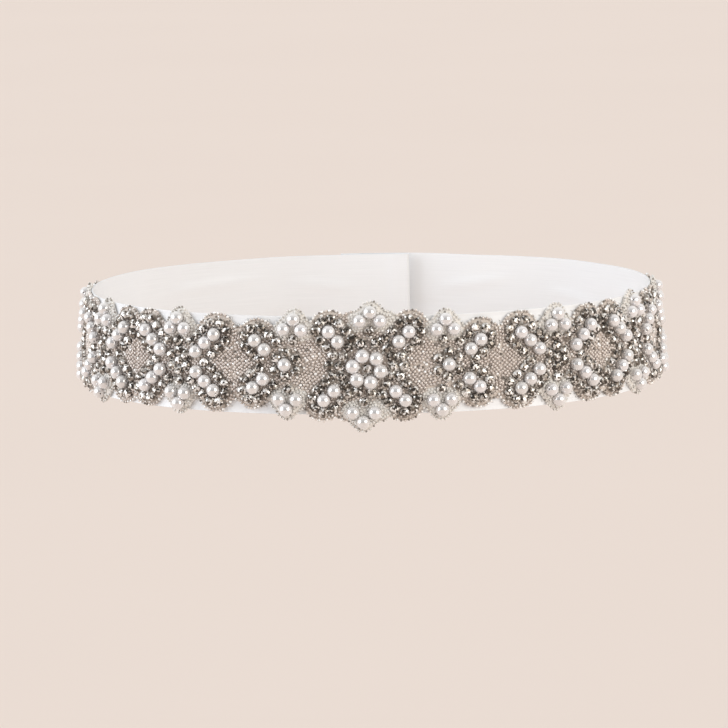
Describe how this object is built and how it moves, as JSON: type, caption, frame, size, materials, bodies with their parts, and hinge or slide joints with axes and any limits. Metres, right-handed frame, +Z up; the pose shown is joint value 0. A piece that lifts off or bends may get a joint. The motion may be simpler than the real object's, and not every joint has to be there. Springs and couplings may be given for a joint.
{
  "type": "beaded bridal sash",
  "caption": "Bridal sash: a satin ribbon worn as a hollow ring round the waist, with a scalloped pearl and rhinestone applique over the front and sides.",
  "frame": {"origin": "centre of the waist opening, half way up the ribbon, where the wearer's waist holds the sash", "axes": "+Z up, the front centre faces -Y, the wearer's left is +X; the closure is at centre back, +Y"},
  "size_m": [0.2504, 0.2098, 0.0528],
  "materials": {
    "satin": "white double-faced satin ribbon, soft sheen along its length",
    "beadwork": "net backing closely beaded: glossy white pearls, clear cup stones in silver, warm silver seed beads and ivory fans",
    "hook_steel": "bright plated sew-on hooks and bars"
  },
  "bodies": {
    "root": {"ribbon": "satin", "applique": "beadwork", "hook_upper": "hook_steel", "hook_lower": "hook_steel", "bar_upper": "hook_steel", "bar_lower": "hook_steel"}
  },
  "joints": []
}
